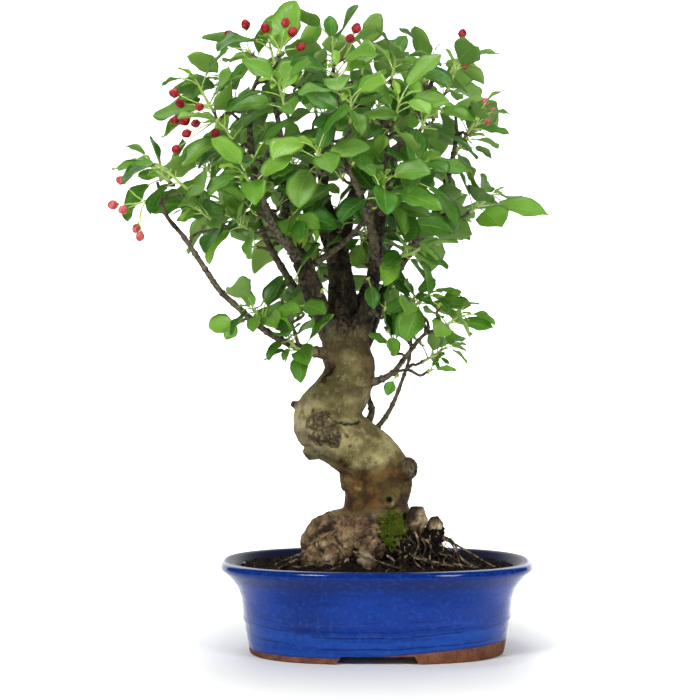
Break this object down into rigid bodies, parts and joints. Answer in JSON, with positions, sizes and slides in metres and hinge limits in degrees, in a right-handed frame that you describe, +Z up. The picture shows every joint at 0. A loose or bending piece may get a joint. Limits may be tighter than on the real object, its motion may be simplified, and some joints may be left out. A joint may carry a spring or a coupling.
{
  "type": "crabapple bonsai",
  "caption": "Crabapple bonsai with a twisted trunk, surface roots, an open leafy crown and closed red flower buds, in an oval glazed pot filled with soil.",
  "frame": {"origin": "middle of the whole plant's bounding box in plan, on the ground that the pot's foot ring stands on", "axes": "+Z up; +X to the right and -Y towards the viewer when the pot's long side is seen from the front"},
  "size_m": [0.3644, 0.3068, 0.5358],
  "materials": {
    "glazed_pot": "gloss cobalt blue glaze, bare brown clay at the foot",
    "soil": "damp dark potting soil, rough",
    "drain_mesh": "matt",
    "bark": "olive and orange-brown bark",
    "leaf": "satin green leaf",
    "flower_bud": "satin crimson petals on green stalks"
  },
  "bodies": {
    "root": {"pot": "glazed_pot", "soil": "soil", "drain_screen_01": "drain_mesh", "drain_screen_02": "drain_mesh", "trunk_and_branches": "bark", "bud_umbel_01": "flower_bud", "bud_umbel_02": "flower_bud", "bud_umbel_03": "flower_bud", "bud_umbel_04": "flower_bud", "bud_umbel_05": "flower_bud", "bud_umbel_06": "flower_bud", "bud_umbel_07": "flower_bud", "bud_umbel_08": "flower_bud", "bud_umbel_09": "flower_bud", "leafy_shoot_01": "leaf", "leafy_shoot_02": "leaf", "leafy_shoot_03": "leaf", "leafy_shoot_04": "leaf", "leafy_shoot_05": "leaf", "leafy_shoot_06": "leaf", "leafy_shoot_07": "leaf", "leafy_shoot_08": "leaf", "leafy_shoot_09": "leaf", "leafy_shoot_10": "leaf", "leafy_shoot_11": "leaf", "leafy_shoot_12": "leaf", "leafy_shoot_13": "leaf", "leafy_shoot_14": "leaf", "leafy_shoot_15": "leaf", "leafy_shoot_16": "leaf", "leafy_shoot_17": "leaf", "leafy_shoot_18": "leaf", "leafy_shoot_19": "leaf", "leafy_shoot_20": "leaf", "leafy_shoot_21": "leaf", "leafy_shoot_22": "leaf", "leafy_shoot_23": "leaf", "leafy_shoot_24": "leaf", "leafy_shoot_25": "leaf", "leafy_shoot_26": "leaf", "leafy_shoot_27": "leaf", "leafy_shoot_28": "leaf", "leafy_shoot_29": "leaf", "leafy_shoot_30": "leaf", "leafy_shoot_31": "leaf", "leafy_shoot_32": "leaf", "leafy_shoot_33": "leaf", "leafy_shoot_34": "leaf", "leafy_shoot_35": "leaf", "leafy_shoot_36": "leaf", "leafy_shoot_37": "leaf", "leafy_shoot_38": "leaf", "leafy_shoot_39": "leaf", "leafy_shoot_40": "leaf", "leafy_shoot_41": "leaf", "leafy_shoot_42": "leaf", "leafy_shoot_43": "leaf", "leafy_shoot_44": "leaf", "leafy_shoot_45": "leaf", "leafy_shoot_46": "leaf"}
  },
  "joints": []
}
